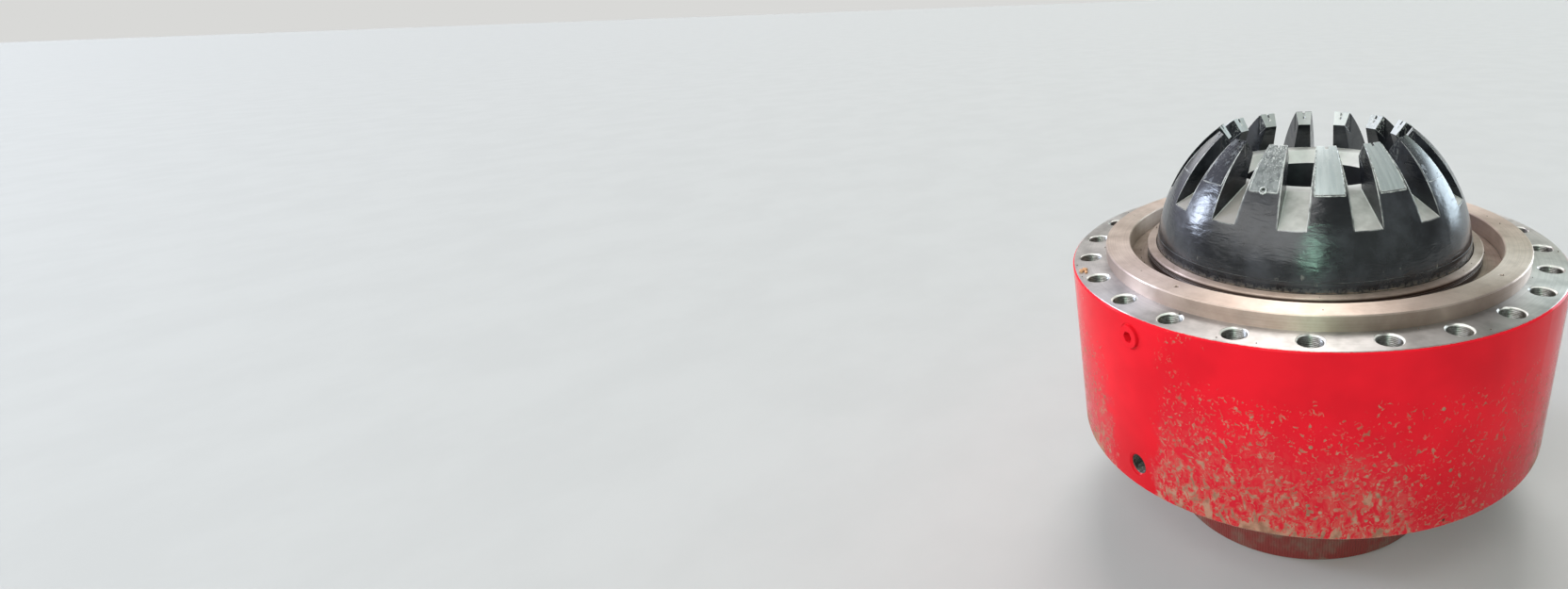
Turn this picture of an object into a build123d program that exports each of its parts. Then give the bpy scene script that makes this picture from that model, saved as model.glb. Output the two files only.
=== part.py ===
from build123d import *
import os
from math import sqrt

# Annular blowout preventer with its upper cover off: the lower housing, the adapter ring,
# the piston and the domed packing element with its steel segments.
# The origin is on the bore axis at the underside of the bottom flange, +Z is up and the
# ports face -Y. Angles round the axis are counted from -Y towards +X. Sizes are in millimetres.

# Through bore and bottom flange
bore_radius = 173.0
bottom_flange_radius = 384.2
bottom_flange_thickness = 168.3
bottom_flange_edge = 4.0
bottom_bolt_count = 20
bottom_bolt_edge_gap = 47.7
bottom_bolt_hole_radius = 25.4
gasket_groove_radius = 204.0
gasket_groove_width = 24.0
gasket_groove_depth = 16.0

# Neck between the flange and the body, with a weld bead at each end
neck_wall = 75.0
neck_length = 120.7
neck_bead = 20.0

# Packing element: a dome whose outside lies on a sphere
dome_radius = 412.5
dome_centre_rise = 22.0
element_bore_clearance = 2.0
throat_depth = 30.0
throat_width = 30.0
ledge_width = 42.0
rib_count = 14
rib_angle = 43.5
rib_height = 102.5
slot_width = 64.0
slot_fall = 57.0

# Steel segments moulded into the ribs
segment_tip_lean = 7.0
segment_thickness = 40.0
segment_tip_width = 44.6
segment_bare_width = 67.0
segment_bare_drop = 87.5
segment_rubber_cover = 12.0
segment_foot_rise = 45.0
segment_notch_width = 7.0
segment_notch_drop = 9.0
segment_notch_depth = 12.0
face_hole_radius = 4.0
face_hole_depth = 16.0
face_hole_inset = 19.0
pin_rib_number = 14
pin_hole_radius = 5.0
pin_hole_depth = 14.0
pin_hole_drop = 81.5

# Piston, from the rim outwards to the head, and its hollow from the bore outwards
piston_rim_wall = 23.2
piston_rim_height = 34.0
piston_rim_groove_height = 6.0
piston_rim_groove_depth = 4.0
piston_deck_width = 46.0
piston_deck_drop = 9.5
piston_head_step = 45.0
piston_head_height = 105.0
piston_seat_depth = 36.5
piston_seat_thickness = 75.0
piston_bore_wall = 72.0
piston_skirt_wall = 42.0
piston_edge_chamfer = 2.0
piston_top_gap = 16.0

# Adapter ring
ring_seat_width = 19.0
ring_seat_depth = 34.0
ring_stand_up = 36.0
ring_chamfer = 2.5
lift_hole_count = 4
lift_hole_inset = 29.0
lift_hole_radius = 5.0
lift_hole_depth = 24.0
lift_hole_chamfer = 1.0
lift_hole_angle = 2.5

# Body of the lower housing, from the adapter ring outwards
stud_ring_gap = 42.0
stud_edge_gap = 47.0
body_height = 457.0
body_top_chamfer = 5.0
body_bottom_chamfer = 8.0
chamber_floor_thickness = 112.0
sleeve_wall = 55.0
sleeve_overlap = 40.0
sleeve_chamfer = 6.0

# Tapped holes for the studs of the cover
stud_hole_count = 24
stud_hole_radius = 27.0
stud_hole_depth = 105.0
stud_hole_chamfer = 3.5

# Hydraulic ports: the closing port is open, the opening port is plugged
port_thread_radius = 24.0
port_thread_depth = 60.0
port_chamfer = 3.0
port_face_radius = 31.0
port_face_depth = 1.5
closing_port_rise = 68.0
closing_passage_radius = 14.0
opening_port_drop = 16.0
opening_passage_radius = 10.0

# Plug of the opening port
plug_head_radius = 27.0
plug_head_height = 8.0
plug_head_chamfer = 1.5
plug_socket_across_flats = 24.0
plug_socket_depth = 18.0
plug_shank_length = 48.0

# Seals
seal_height = 12.0
seal_depth = 8.0

# Clearances, on the radius
running_clearance = 0.08
seal_clearance = 0.04
seat_clearance = 0.3
thread_clearance = 0.1

# How far a cutter stands out of the face it cuts
cut_margin = 1.0

# Radii that follow from the sizes
bottom_bolt_circle_radius = bottom_flange_radius - bottom_bolt_edge_gap
neck_radius = bore_radius + neck_wall
sleeve_radius = bore_radius + sleeve_wall
element_bore_radius = bore_radius + element_bore_clearance
ledge_inner_radius = element_bore_radius + throat_width
ledge_outer_radius = ledge_inner_radius + ledge_width
segment_tip_radius = ledge_outer_radius - segment_tip_lean
piston_bore_radius = sleeve_radius + running_clearance
piston_seat_radius = dome_radius + seat_clearance
piston_rim_radius = piston_seat_radius + piston_rim_wall
ring_inner_radius = piston_rim_radius + piston_deck_width
piston_skirt_radius = ring_inner_radius - running_clearance
cylinder_radius = ring_inner_radius + piston_head_step
piston_head_radius = cylinder_radius - running_clearance
piston_cup_inner_radius = sleeve_radius + piston_bore_wall
piston_cup_outer_radius = ring_inner_radius - piston_skirt_wall
ring_outer_radius = cylinder_radius + ring_seat_width
lift_hole_circle_radius = ring_inner_radius + lift_hole_inset
stud_circle_radius = ring_outer_radius + stud_ring_gap
body_radius = stud_circle_radius + stud_edge_gap
port_face_distance = body_radius - port_face_depth

# Heights that follow from the sizes
body_bottom_z = bottom_flange_thickness + neck_length
body_top_z = body_bottom_z + body_height
chamber_floor_z = body_bottom_z + chamber_floor_thickness
ring_seat_z = body_top_z - ring_seat_depth
ring_top_z = body_top_z + ring_stand_up
ring_seal_z = (ring_seat_z + body_top_z) / 2
piston_stroke = ring_seat_z - chamber_floor_z - piston_head_height - piston_top_gap
piston_head_top_z = chamber_floor_z + piston_head_height
head_seal_z = chamber_floor_z + piston_head_height / 2
sleeve_top_z = chamber_floor_z + piston_stroke + sleeve_overlap
piston_deck_z = body_top_z - piston_deck_drop
piston_rim_z = piston_deck_z + piston_rim_height
element_base_z = piston_deck_z - piston_seat_depth
piston_cup_top_z = element_base_z - piston_seat_thickness
closing_port_z = body_bottom_z + closing_port_rise
opening_port_z = ring_seat_z - opening_port_drop
closing_passage_reach = (piston_cup_inner_radius + piston_cup_outer_radius) / 2

# The dome and its segments
rib_step = 360 / rib_count
dome_centre_z = element_base_z + dome_centre_rise
segment_tip_z = dome_centre_z + sqrt(dome_radius**2 - segment_tip_radius**2)
segment_bare_z = segment_tip_z - segment_bare_drop
segment_foot_z = element_base_z + segment_foot_rise
pin_hole_z = segment_tip_z - pin_hole_drop
ledge_z = segment_tip_z - rib_height
throat_z = ledge_z - throat_depth
slot_mouth_z = ledge_z - slot_fall
segment_inner_radius = dome_radius - segment_thickness
segment_cover_radius = dome_radius - segment_rubber_cover
tip_out = segment_tip_radius / dome_radius
tip_up = (segment_tip_z - dome_centre_z) / dome_radius
end_face_radius = segment_inner_radius * tip_out
end_face_z = dome_centre_z + segment_inner_radius * tip_up


def ring_of(profile_points):
    """A solid of revolution from an outline of (radius, height) points."""
    with BuildPart() as turned:
        with BuildSketch(Plane.XZ):
            with BuildLine():
                Polyline(*profile_points, close=True)
            make_face()
        revolve(axis=Axis.Z)
    return turned.part


def tube(outer_radius, inner_radius, low_z, high_z):
    """A plain ring between two heights."""
    return ring_of([
        (inner_radius, low_z),
        (outer_radius, low_z),
        (outer_radius, high_z),
        (inner_radius, high_z),
    ])


def seal_band(outer_radius, inner_radius, middle_z):
    """The ring that a seal fills, or that its groove cuts out."""
    return tube(outer_radius, inner_radius, middle_z - seal_height / 2, middle_z + seal_height / 2)


def around(angle, solid):
    """Turn a solid made at -Y to its angle round the axis."""
    return solid.rotate(Axis.Z, angle)


def drill_down(radius, top_z, depth, chamfer_size, centre_radius):
    """A vertical hole cutter at -Y, with a chamfered mouth at top_z."""
    shaft = Pos(0, -centre_radius, top_z - depth) * Cylinder(
        radius, depth, align=(Align.CENTER, Align.CENTER, Align.MIN))
    mouth = Pos(0, -centre_radius, top_z - chamfer_size) * Cone(
        radius, radius + chamfer_size, chamfer_size, align=(Align.CENTER, Align.CENTER, Align.MIN))
    return shaft + mouth


def outward_plane(distance, height):
    """An upright plane at -Y whose normal points away from the axis."""
    return Plane((0, -distance, height), x_dir=(1, 0, 0), z_dir=(0, -1, 0))


def drill_in(radius, outer_distance, inner_distance, height):
    """A level hole cutter at -Y that runs towards the axis."""
    middle = (outer_distance + inner_distance) / 2
    return outward_plane(middle, height) * Cylinder(radius, outer_distance - inner_distance)


def port_cutter(height):
    """The flat face, chamfer and tapped hole of one hydraulic port, at -Y."""
    face = drill_in(port_face_radius, body_radius + port_face_radius, port_face_distance, height)
    thread = drill_in(port_thread_radius, body_radius, body_radius - port_thread_depth, height)
    mouth = outward_plane(port_face_distance - port_chamfer / 2, height) * Cone(
        port_thread_radius, port_thread_radius + port_chamfer, port_chamfer)
    return face + thread + mouth


def bottom_flange():
    """The bolted flange that the preventer stands on, with its gasket groove."""
    turned = ring_of([
        (bore_radius, 0),
        (bottom_flange_radius - bottom_flange_edge, 0),
        (bottom_flange_radius, bottom_flange_edge),
        (bottom_flange_radius, bottom_flange_thickness - bottom_flange_edge),
        (bottom_flange_radius - bottom_flange_edge, bottom_flange_thickness),
        (bore_radius, bottom_flange_thickness),
    ])
    groove = tube(
        gasket_groove_radius + gasket_groove_width / 2,
        gasket_groove_radius - gasket_groove_width / 2,
        0,
        gasket_groove_depth,
    )
    hole = Pos(0, -bottom_bolt_circle_radius, bottom_flange_thickness / 2) * Cylinder(
        bottom_bolt_hole_radius, bottom_flange_thickness)
    step = 360 / bottom_bolt_count
    return turned - groove - [around((i + 0.5) * step, hole) for i in range(bottom_bolt_count)]


def neck():
    """The short pipe between the flange and the body, with its two weld beads."""
    return ring_of([
        (bore_radius, bottom_flange_thickness),
        (neck_radius + neck_bead, bottom_flange_thickness),
        (neck_radius, bottom_flange_thickness + neck_bead),
        (neck_radius, body_bottom_z - neck_bead),
        (neck_radius + neck_bead, body_bottom_z),
        (bore_radius, body_bottom_z),
    ])


def lower_housing():
    """One forging: body, inner sleeve and the walls of the cylinder."""
    turned = ring_of([
        (bore_radius, body_bottom_z),
        (body_radius - body_bottom_chamfer, body_bottom_z),
        (body_radius, body_bottom_z + body_bottom_chamfer),
        (body_radius, body_top_z - body_top_chamfer),
        (body_radius - body_top_chamfer, body_top_z),
        (ring_outer_radius + running_clearance, body_top_z),
        (ring_outer_radius + running_clearance, ring_seat_z),
        (cylinder_radius, ring_seat_z),
        (cylinder_radius, chamber_floor_z),
        (sleeve_radius, chamber_floor_z),
        (sleeve_radius, sleeve_top_z - sleeve_chamfer),
        (sleeve_radius - sleeve_chamfer, sleeve_top_z),
        (bore_radius, sleeve_top_z),
    ])
    stud_hole = drill_down(
        stud_hole_radius, body_top_z, stud_hole_depth, stud_hole_chamfer, stud_circle_radius)
    stud_step = 360 / stud_hole_count
    turned = turned - [around((i + 0.5) * stud_step, stud_hole) for i in range(stud_hole_count)]
    closing_run = drill_in(closing_passage_radius, body_radius, closing_passage_reach, closing_port_z)
    closing_rise = Pos(0, -closing_passage_reach, closing_port_z) * Cylinder(
        closing_passage_radius, chamber_floor_z - closing_port_z,
        align=(Align.CENTER, Align.CENTER, Align.MIN))
    opening_run = drill_in(
        opening_passage_radius, body_radius, cylinder_radius - opening_passage_radius, opening_port_z)
    ports = [port_cutter(closing_port_z), port_cutter(opening_port_z)]
    return turned - ports - [closing_run, closing_rise, opening_run]


def opening_port_plug():
    """A round-headed pipe plug with a hexagon socket."""
    head = Cylinder(plug_head_radius, plug_head_height, align=(Align.CENTER, Align.CENTER, Align.MIN))
    head = chamfer(head.edges().sort_by(Axis.Z)[-1], plug_head_chamfer)
    shank = Cylinder(
        port_thread_radius - thread_clearance, plug_shank_length,
        align=(Align.CENTER, Align.CENTER, Align.MAX))
    hexagon = RegularPolygon(plug_socket_across_flats / 2, 6, major_radius=False)
    socket = Pos(0, 0, plug_head_height - plug_socket_depth) * extrude(hexagon, plug_socket_depth)
    return outward_plane(port_face_distance, opening_port_z) * (head + shank - socket)


def adapter_ring():
    """The ring that closes the opening chamber round the piston's skirt."""
    turned = ring_of([
        (ring_inner_radius, ring_seat_z),
        (ring_outer_radius, ring_seat_z),
        (ring_outer_radius, ring_top_z - ring_chamfer),
        (ring_outer_radius - ring_chamfer, ring_top_z),
        (ring_inner_radius + ring_chamfer, ring_top_z),
        (ring_inner_radius, ring_top_z - ring_chamfer),
    ])
    outer_groove = seal_band(ring_outer_radius + cut_margin, ring_outer_radius - seal_depth, ring_seal_z)
    inner_groove = seal_band(ring_inner_radius + seal_depth, ring_inner_radius - cut_margin, ring_seal_z)
    lift_hole = drill_down(
        lift_hole_radius, ring_top_z, lift_hole_depth, lift_hole_chamfer, lift_hole_circle_radius)
    step = 360 / lift_hole_count
    lift_holes = [around(lift_hole_angle + i * step, lift_hole) for i in range(lift_hole_count)]
    return turned - outer_groove - inner_groove - lift_holes


def piston():
    """Stepped piston: head in the cylinder, skirt in the adapter ring, bore on the sleeve."""
    groove_low_z = piston_deck_z + piston_rim_height / 2
    groove_high_z = groove_low_z + piston_rim_groove_height
    turned = ring_of([
        (piston_bore_radius, chamber_floor_z),
        (piston_cup_inner_radius, chamber_floor_z),
        (piston_cup_inner_radius, piston_cup_top_z),
        (piston_cup_outer_radius, piston_cup_top_z),
        (piston_cup_outer_radius, chamber_floor_z),
        (piston_head_radius - piston_edge_chamfer, chamber_floor_z),
        (piston_head_radius, chamber_floor_z + piston_edge_chamfer),
        (piston_head_radius, piston_head_top_z - piston_edge_chamfer),
        (piston_head_radius - piston_edge_chamfer, piston_head_top_z),
        (piston_skirt_radius, piston_head_top_z),
        (piston_skirt_radius, piston_deck_z - piston_edge_chamfer),
        (piston_skirt_radius - piston_edge_chamfer, piston_deck_z),
        (piston_rim_radius, piston_deck_z),
        (piston_rim_radius, groove_low_z),
        (piston_rim_radius - piston_rim_groove_depth, groove_low_z),
        (piston_rim_radius - piston_rim_groove_depth, groove_high_z),
        (piston_rim_radius, groove_high_z),
        (piston_rim_radius, piston_rim_z - piston_edge_chamfer),
        (piston_rim_radius - piston_edge_chamfer, piston_rim_z),
        (piston_seat_radius, piston_rim_z),
        (piston_seat_radius, element_base_z),
        (piston_bore_radius, element_base_z),
    ])
    outer_groove = seal_band(piston_head_radius + cut_margin, piston_head_radius - seal_depth, head_seal_z)
    inner_groove = seal_band(piston_bore_radius + seal_depth, piston_bore_radius - cut_margin, head_seal_z)
    return turned - outer_groove - inner_groove


def on_dome(radius_from_centre, height):
    """The point at a height, on a sphere about the dome's centre, as (radius, height)."""
    return (sqrt(radius_from_centre**2 - (height - dome_centre_z)**2), height)


def dome_arc(radius_from_centre, start, end):
    """An arc about the dome's centre between two (radius, height) points."""
    middle = ((start[0] + end[0]) / 2, (start[1] + end[1]) / 2 - dome_centre_z)
    reach = radius_from_centre / sqrt(middle[0]**2 + middle[1]**2)
    return ThreePointArc(start, (middle[0] * reach, dome_centre_z + middle[1] * reach), end)


def tip_plane(depth):
    """A plane on the tip's end face at -Y, its normal along the rib, depth below the outside."""
    distance = dome_radius - depth
    origin = (0, -distance * tip_out, dome_centre_z + distance * tip_up)
    return Plane(origin, x_dir=(1, 0, 0), z_dir=(0, tip_up, tip_out))


def slot_cutter():
    """The gap between two ribs at -Y: parallel sides and a floor that slopes down outwards."""
    fall = slot_fall / (on_dome(dome_radius, slot_mouth_z)[0] - ledge_outer_radius)
    far_radius = dome_radius + segment_thickness
    far_z = ledge_z - fall * (far_radius - ledge_outer_radius)
    top_z = segment_tip_z + segment_thickness
    with BuildPart() as cutter:
        with BuildSketch(Plane.YZ):
            with BuildLine():
                Polyline(
                    (-element_bore_radius, ledge_z),
                    (-ledge_outer_radius, ledge_z),
                    (-far_radius, far_z),
                    (-far_radius, top_z),
                    (-element_bore_radius, top_z),
                    close=True,
                )
            make_face()
        extrude(amount=slot_width / 2, both=True)
    return cutter.part


def slots():
    """All the slot cutters, half a step from the ribs."""
    cutter = slot_cutter()
    return [around(rib_angle + (i + 0.5) * rib_step, cutter) for i in range(rib_count)]


def segment_bar():
    """One curved bar at -Y, whole: bare at the tip, under the rubber lower down."""
    tip = (segment_tip_radius, segment_tip_z)
    end_face = (end_face_radius, end_face_z)
    bare_end = on_dome(dome_radius, segment_bare_z)
    cover_start = on_dome(segment_cover_radius, segment_bare_z)
    outer_foot = on_dome(segment_cover_radius, segment_foot_z)
    inner_foot = on_dome(segment_inner_radius, segment_foot_z)
    with BuildPart() as turned:
        with BuildSketch(Plane.XZ):
            with BuildLine():
                dome_arc(dome_radius, tip, bare_end)
                Line(bare_end, cover_start)
                dome_arc(segment_cover_radius, cover_start, outer_foot)
                Line(outer_foot, inner_foot)
                dome_arc(segment_inner_radius, inner_foot, end_face)
                Line(end_face, tip)
            make_face()
        revolve(axis=Axis.Z)
    spread = (segment_bare_width - segment_tip_width) / 2 / (bare_end[0] - segment_tip_radius)
    foot_half_width = segment_tip_width / 2 + spread * (dome_radius - segment_tip_radius)
    start_half_width = segment_tip_width / 2 - spread * (segment_tip_radius - element_bore_radius)
    with BuildPart() as plan:
        with BuildSketch(Plane.XY):
            with BuildLine():
                Polyline(
                    (-start_half_width, -element_bore_radius),
                    (start_half_width, -element_bore_radius),
                    (foot_half_width, -dome_radius),
                    (-foot_half_width, -dome_radius),
                    close=True,
                )
            make_face()
        extrude(amount=segment_tip_z + segment_thickness)
    slot = slot_cutter()
    return (turned.part & plan.part) - [around(-rib_step / 2, slot), around(rib_step / 2, slot)]


def steel_segment(bar):
    """The bar with a notch in its tip's outer edge and a hole in its end face."""
    notch = tip_plane((segment_notch_depth - cut_margin) / 2) * Box(
        segment_notch_width, segment_notch_depth + cut_margin, 2 * segment_notch_drop)
    face_hole = tip_plane(face_hole_inset) * Cylinder(
        face_hole_radius, face_hole_depth, align=(Align.CENTER, Align.CENTER, Align.MAX))
    return bar - notch - face_hole


def pin_hole():
    """A short blind hole into the outside of one segment, at -Y, cut by a cylinder centred on it."""
    mouth = on_dome(dome_radius, pin_hole_z)
    out = mouth[0] / dome_radius
    up = (pin_hole_z - dome_centre_z) / dome_radius
    outward = Plane((0, -mouth[0], mouth[1]), x_dir=(1, 0, 0), z_dir=(0, -out, up))
    return outward * Cylinder(pin_hole_radius, 2 * pin_hole_depth)


def steel_segments():
    """The segments by node name, each at its rib."""
    segment = steel_segment(segment_bar())
    named = {}
    for i in range(rib_count):
        solid = segment - pin_hole() if i + 1 == pin_rib_number else segment
        named[f"steel_segment_{i + 1:02d}"] = around(rib_angle + i * rib_step, solid)
    return named


def packing_element():
    """The rubber dome, with slots between its ribs and pockets for the steel segments."""
    foot = (dome_radius, dome_centre_z)
    tip = (segment_tip_radius, segment_tip_z)
    with BuildPart() as turned:
        with BuildSketch(Plane.XZ):
            with BuildLine():
                Line((dome_radius, element_base_z), foot)
                dome_arc(dome_radius, foot, tip)
                Polyline(
                    tip,
                    (end_face_radius, end_face_z),
                    (ledge_outer_radius, ledge_z),
                    (ledge_inner_radius, ledge_z),
                    (element_bore_radius, throat_z),
                    (element_bore_radius, element_base_z),
                    (dome_radius, element_base_z),
                )
            make_face()
        revolve(axis=Axis.Z)
    bar = segment_bar()
    pockets = [around(rib_angle + i * rib_step, bar) for i in range(rib_count)]
    return turned.part - slots() - pockets


def seals():
    """The seal rings in the grooves of the adapter ring and the piston."""
    return {
        "adapter_ring_outer_seal": seal_band(
            ring_outer_radius + seal_clearance, ring_outer_radius - seal_depth, ring_seal_z),
        "adapter_ring_inner_seal": seal_band(
            ring_inner_radius + seal_depth, ring_inner_radius - seal_clearance, ring_seal_z),
        "piston_head_seal": seal_band(
            piston_head_radius + seal_clearance, piston_head_radius - seal_depth, head_seal_z),
        "piston_bore_seal": seal_band(
            piston_bore_radius + seal_depth, piston_bore_radius - seal_clearance, head_seal_z),
    }


os.makedirs("parts", exist_ok=True)
nodes = {
    "bottom_flange": bottom_flange(),
    "neck": neck(),
    "lower_housing": lower_housing(),
    "opening_port_plug": opening_port_plug(),
    "adapter_ring": adapter_ring(),
    "piston": piston(),
    "packing_element": packing_element(),
}
nodes.update(seals())
nodes.update(steel_segments())
for name, solid in nodes.items():
    export_step(solid, f"parts/{name}.step")
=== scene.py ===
import bpy
from functools import partial
from math import cos, radians, sin, sqrt, tau
from mathutils import Matrix, Vector
from mathutils.noise import noise


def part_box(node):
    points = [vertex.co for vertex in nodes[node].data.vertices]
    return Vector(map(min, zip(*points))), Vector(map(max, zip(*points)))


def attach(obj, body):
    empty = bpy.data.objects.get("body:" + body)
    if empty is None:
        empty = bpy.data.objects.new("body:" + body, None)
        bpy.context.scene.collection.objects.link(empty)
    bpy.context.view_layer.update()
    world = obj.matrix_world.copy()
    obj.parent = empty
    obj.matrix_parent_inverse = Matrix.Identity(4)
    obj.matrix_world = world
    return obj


# Annular blowout preventer with its upper cover off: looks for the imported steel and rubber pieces
# Angles round the axis are counted from -Y towards +X, and lengths are in metres
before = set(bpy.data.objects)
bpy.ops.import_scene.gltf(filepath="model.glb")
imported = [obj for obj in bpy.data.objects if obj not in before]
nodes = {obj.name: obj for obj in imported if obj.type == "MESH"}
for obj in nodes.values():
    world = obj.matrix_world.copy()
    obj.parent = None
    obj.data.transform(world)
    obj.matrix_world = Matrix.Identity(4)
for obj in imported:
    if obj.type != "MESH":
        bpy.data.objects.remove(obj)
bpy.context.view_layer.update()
print("stage 1: frame loaded,", len(nodes), "pieces")

mm = 0.001

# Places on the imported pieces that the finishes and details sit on
bodyLow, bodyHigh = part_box("lower_housing")
elementLow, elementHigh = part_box("packing_element")
plugLow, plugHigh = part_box("opening_port_plug")
part = {
    "bodyRadius": bodyHigh.x, "bodyTop": bodyHigh.z, "bodyBottom": bodyLow.z,
    "neckBottom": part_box("neck")[0].z,
    "rimTop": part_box("piston")[1].z, "rimRadius": 436 * mm,
    "elementTop": elementHigh.z, "domeRadius": elementHigh.x, "domeCentre": elementLow.z + 22 * mm,
    "boreRadius": 173 * mm,
    "studCircle": 588 * mm, "studHole": 27 * mm, "studCount": 24, "studChamfer": 3.5 * mm,
    "portRadius": 24 * mm, "portFace": bodyHigh.x - 1.5 * mm, "closingPort": bodyLow.z + 68 * mm,
    "plugMiddle": (plugLow.z + plugHigh.z) / 2, "plugFront": -plugLow.y,
    "ribCount": 14, "ribAngle": 43.5, "tipRadius": 240 * mm, "tipHalfWidth": 22.3 * mm,
    "bareDrop": 87.5 * mm, "bareHalfWidth": 33.5 * mm, "pinHole": elementHigh.z - 81.5 * mm,
}


# Small helpers

def srgb(hexColour):
    channels = [int(hexColour[i:i + 2], 16) / 255 for i in (1, 3, 5)]
    linear = [c / 12.92 if c <= 0.04045 else ((c + 0.055) / 1.055) ** 2.4 for c in channels]
    return (*linear, 1.0)


def polar(radius, angle, height):
    return (radius * sin(radians(angle)), -radius * cos(radians(angle)), height)


# The nodes in use: Blender's name, the settings, the sockets that values go to in their order, and
# the output that is handed on. Any kind that isn't listed is an operation of the Math node.
# The bevel breaks the edges by about its radius, so that they catch a line of light.
nodeKinds = {
    "coords": ("TexCoord", {}, (), "Object"),
    "geometry": ("NewGeometry", {}, (), "True Normal"),
    "tangent": ("Tangent", {"direction_type": "RADIAL", "axis": "Z"}, (), 0),
    "bevel": ("Bevel", {"samples": 6}, ("Radius",), 0),
    "split": ("SeparateXYZ", {}, (0,), 0),
    "join": ("CombineXYZ", {}, (0, 1, 2), 0),
    "splitColour": ("SeparateColor", {}, (0,), 0),
    "noise": ("TexNoise", {}, ("Vector", "Scale", "Detail", "Roughness", "Distortion"), "Fac"),
    "cells": ("TexVoronoi", {"feature": "F1"}, ("Vector", "Scale", "Randomness"), "Distance"),
    "fade": ("MapRange", {"interpolation_type": "SMOOTHSTEP"}, (0, 1, 2, 3, 4), 0),
    "slope": ("MapRange", {"interpolation_type": "LINEAR"}, (0, 1, 2, 3, 4), 0),
    "mixColour": ("Mix", {"data_type": "RGBA"}, (0, 6, 7), 2),
    "mixValue": ("Mix", {"data_type": "FLOAT"}, (0, 2, 3), 0),
    "bump": ("Bump", {}, ("Height", "Distance", "Strength", "Normal"), 0),
    "stretch": ("VectorMath", {"operation": "MULTIPLY"}, (0, 1), 0),
    "shift": ("VectorMath", {"operation": "MULTIPLY_ADD"}, (0, 1, 2), 0),
    "addLight": ("VectorMath", {"operation": "ADD"}, (0, 1), 0),
    "dim": ("VectorMath", {"operation": "SCALE"}, (0, 3), 0),
    "unit": ("VectorMath", {"operation": "NORMALIZE"}, (0,), 0),
    "length": ("VectorMath", {"operation": "LENGTH"}, (0,), 1),
    "distance": ("VectorMath", {"operation": "DISTANCE"}, (0, 1), 1),
    "dot": ("VectorMath", {"operation": "DOT_PRODUCT"}, (0, 1), 1),
    "turn": ("VectorRotate", {"rotation_type": "Z_AXIS"}, ("Vector", "Angle"), 0),
    "shader": ("BsdfPrincipled", {}, (), 0),
    "materialOutput": ("OutputMaterial", {}, ("Surface",), None),
    "lightPath": ("LightPath", {}, (), "Is Camera Ray"),
    "background": ("Background", {}, ("Color",), 0),
    "worldOutput": ("OutputWorld", {}, ("Surface",), None),
}


def addNode(tree, kind, *values, **named):
    # one node with its settings and links; a hex colour among the values is turned linear
    name, settings, sockets, output = nodeKinds.get(kind, ("Math", {"operation": kind}, (0, 1, 2), 0))
    node = tree.nodes.new("ShaderNode" + name)
    for setting, value in settings.items():
        setattr(node, setting, value)
    for socket, value in [*zip(sockets, values), *named.items()]:
        entry = node.inputs[socket]
        if isinstance(value, bpy.types.NodeSocket):
            tree.links.new(value, entry)
        elif isinstance(value, str):
            entry.default_value = srgb(value)[:len(entry.default_value)]
        else:
            entry.default_value = value
    return None if output is None else node.outputs[output]


def newMaterial(name):
    # an empty material, and what adds nodes to it
    material = bpy.data.materials.new(name)
    material.use_nodes = True
    material.node_tree.nodes.clear()
    return material, partial(addNode, material.node_tree)


def finishMaterial(add, inputs):
    add("materialOutput", add("shader", **inputs))


def allOf(add, *masks):
    # where every mask holds, and as far as the weakest lets it
    whole = masks[0]
    for mask in masks[1:]:
        whole = add("MULTIPLY", whole, mask)
    return whole


def offBy(add, value, middle):
    # how far a value lies from a middle, to either side
    return add("ABSOLUTE", add("SUBTRACT", value, middle))


def patches(add, coords, grain, low, high, detail=3.0, roughness=0.55, least=0.0, most=1.0):
    # patches of one real size, faded in between two levels of a noise; looks give them in this order
    return add("fade", add("noise", coords, 1 / grain, detail, roughness), low, high, least, most)


def layered(add, colour, *layers):
    # a colour and others laid over it in turn, each as far as its mask says
    for mask, over in layers:
        colour = add("mixColour", mask, colour, over)
    return colour


def wornAndLitEdges(add, radius):
    # how far a point lies on an outer edge, where wear and handling polish a pale line, and where a highlight
    # is painted along it
    return add("fade", add("dot", add("bevel", radius), add("geometry")), 0.99, 0.88)


def placeOf(add):
    # where a point lies: object coordinates, distance from the axis, height and angle round it
    coords = add("coords")
    normal = coords.node.outputs["Normal"]
    x, y, z = add("split", coords).node.outputs
    return {
        "coords": coords, "x": x, "y": y, "z": z,
        "radius": add("length", add("stretch", coords, (1, 1, 0))),
        "angle": add("ARCTAN2", x, add("MULTIPLY", y, -1.0)),
        "normal": normal, "up": add("split", normal).node.outputs["Z"],
    }


def inBore(add, at):
    # the bore is bare steel in every piece that it runs through
    edge = part["boreRadius"] + 0.5 * mm
    return add("fade", at["radius"], edge + 0.5 * mm, edge)


def depthInDome(add, at):
    away = add("distance", at["coords"], (0, 0, part["domeCentre"]))
    return add("SUBTRACT", part["domeRadius"], away)


# Turned steel

turnedFinish = {"roughness": 0.40, "anisotropy": 0.85, "rotation": 0.25, "drift": 0.8, "marks": 0.12}


def turnedLay(add, at, pitch):
    # tool marks of a lathe: they change with radius and height but hardly round the axis
    across = [add("MULTIPLY", at[way], 1 / pitch) for way in ("radius", "z")]
    along = add("MULTIPLY", at["angle"], turnedFinish["drift"])
    return add("noise", add("join", *across, along), 1.0, 2.0, 0.6)


def acrossTheLay(add):
    # the fine grooves of a lathe run round the axis and spread the light across them
    return {"Tangent": add("tangent"), "Anisotropic": turnedFinish["anisotropy"],
            "Anisotropic Rotation": turnedFinish["rotation"]}


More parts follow.
